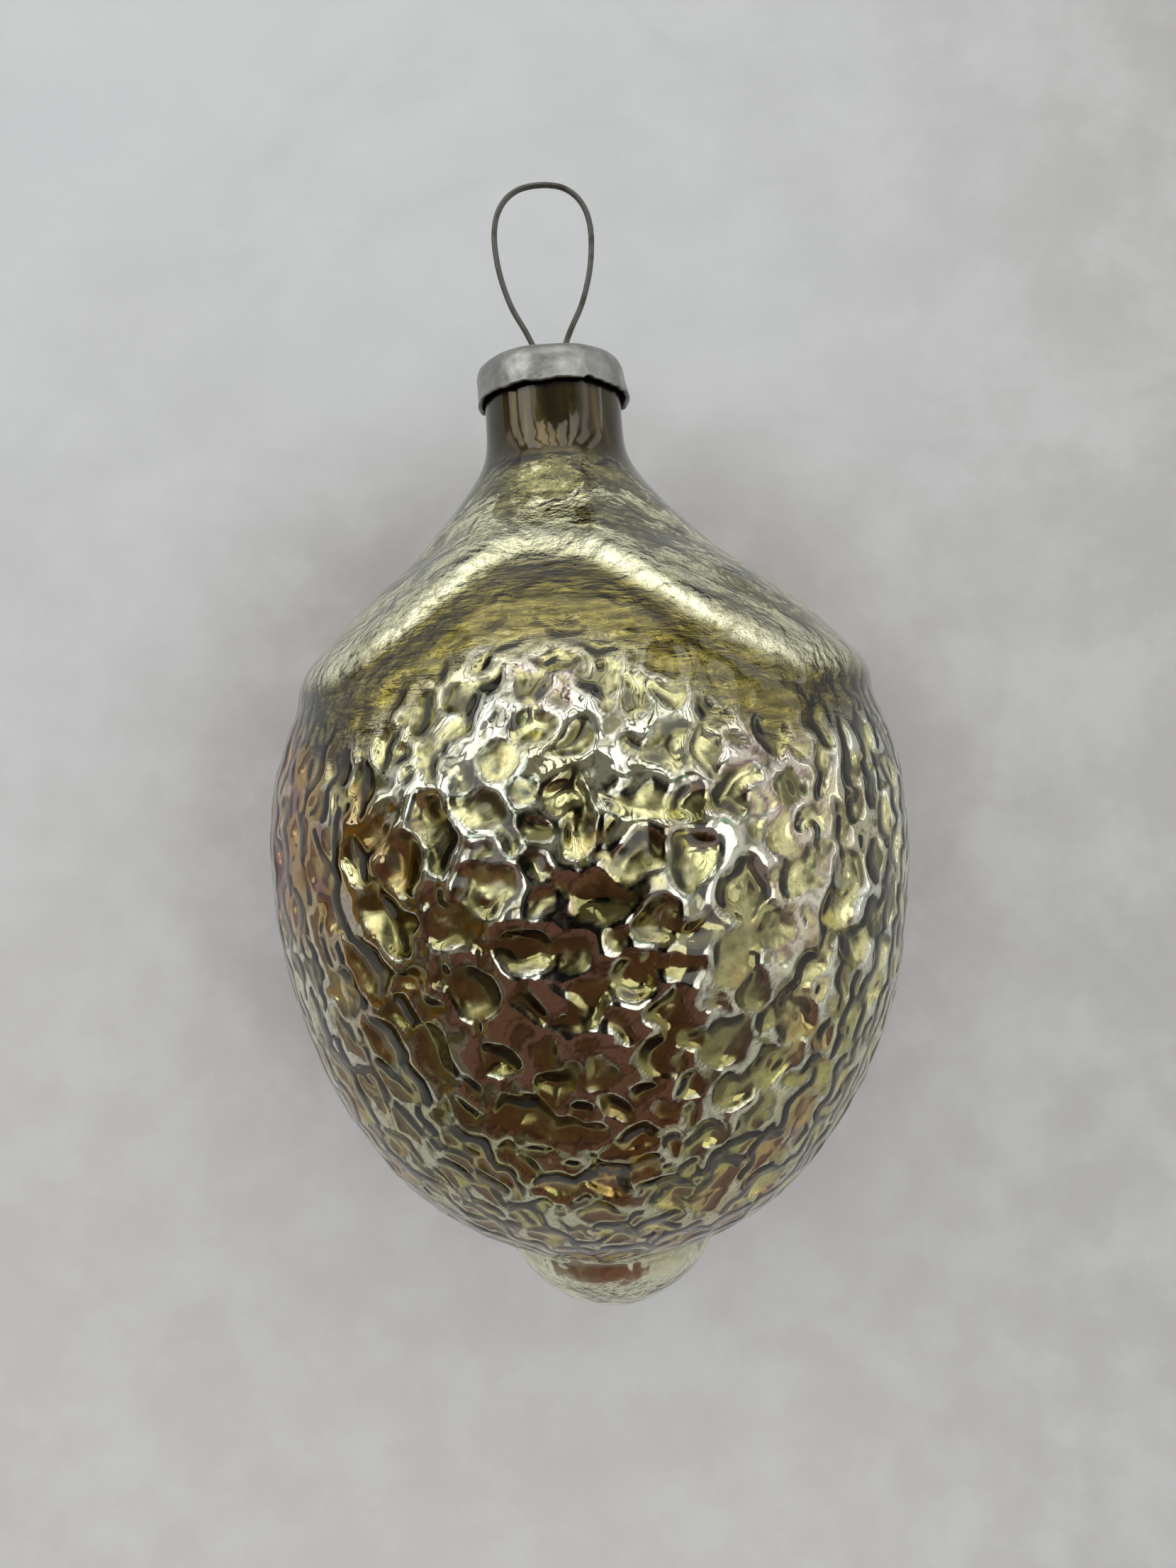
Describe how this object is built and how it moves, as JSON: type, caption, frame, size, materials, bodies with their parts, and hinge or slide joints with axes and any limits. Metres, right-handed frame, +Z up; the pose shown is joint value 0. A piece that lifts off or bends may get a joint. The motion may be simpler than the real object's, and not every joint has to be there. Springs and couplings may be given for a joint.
{
  "type": "christmas tree ornament",
  "caption": "Hollow blown-glass lemon with a silvered, pitted peel, an open neck under a pressed metal cap, and a sprung wire loop to hang it by.",
  "frame": {"origin": "where a hook bears on the inside of the wire loop's crown", "axes": "+Z up along the hanging ornament's axis, towards the hook; the ornament's front faces -Y and the wire loop lies in the XZ plane"},
  "size_m": [0.048, 0.048, 0.0864],
  "materials": {
    "silvered_glass": "clear blown glass silvered inside, with a pale yellow lacquer, mirror bright",
    "cap_metal": "dull oxidised pressed sheet",
    "wire_steel": "dark drawn spring wire"
  },
  "bodies": {
    "hanger": {"wire_hanger": "wire_steel"},
    "cap": {"cap": "cap_metal"},
    "glass": {"glass_body": "silvered_glass"}
  },
  "joints": [
    {"name": "cap_swing", "type": "hinge", "parent": "hanger", "child": "cap", "pos_m": [0, 0, -0.0139], "axis": [1, 0, 0], "range_deg": [-6, 6]},
    {"name": "glass_pull_off", "type": "slide", "parent": "cap", "child": "glass", "axis": [0, 0, -1], "range_m": [0, 0.02]}
  ]
}
